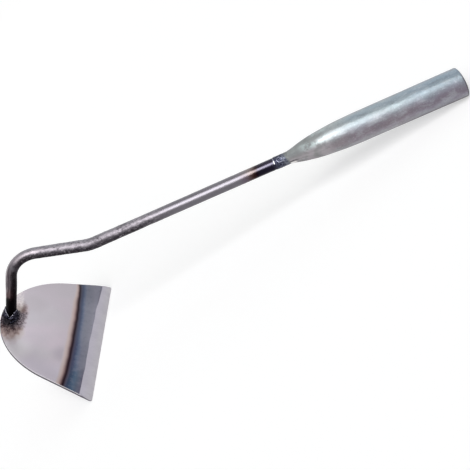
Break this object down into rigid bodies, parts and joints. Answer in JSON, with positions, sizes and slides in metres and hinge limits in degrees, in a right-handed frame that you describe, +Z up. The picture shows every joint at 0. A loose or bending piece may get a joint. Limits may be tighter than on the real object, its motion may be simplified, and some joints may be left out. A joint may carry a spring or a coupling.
{
  "type": "hand hoe",
  "caption": "All-steel draw hoe: a half-moon blade with a ground bevel, welded to a gooseneck rod that runs into a drawn tube socket with an open mouth.",
  "frame": {"origin": "centre of the bounding box at floor level, the hoe resting on its cutting edge and on the rim of its socket's mouth", "axes": "+X towards the socket's mouth, +Y along the cutting edge, +Z up; the XZ plane is the tool's plane of symmetry"},
  "size_m": [0.4604, 0.169, 0.1212],
  "materials": {
    "ground_steel": "satin ground steel with a brown and blue heat tint along the hardened cutting edge",
    "forge_scale_steel": "dark mill scale, burnt black at the foot and blued at the socket",
    "galvanised_steel": "bright zinc coating, softly clouded",
    "weld_metal": "black rough weld scale"
  },
  "bodies": {
    "root": {"blade": "ground_steel", "neck_rod": "forge_scale_steel", "socket_tube": "galvanised_steel", "blade_weld": "weld_metal", "socket_weld": "weld_metal"}
  },
  "joints": []
}
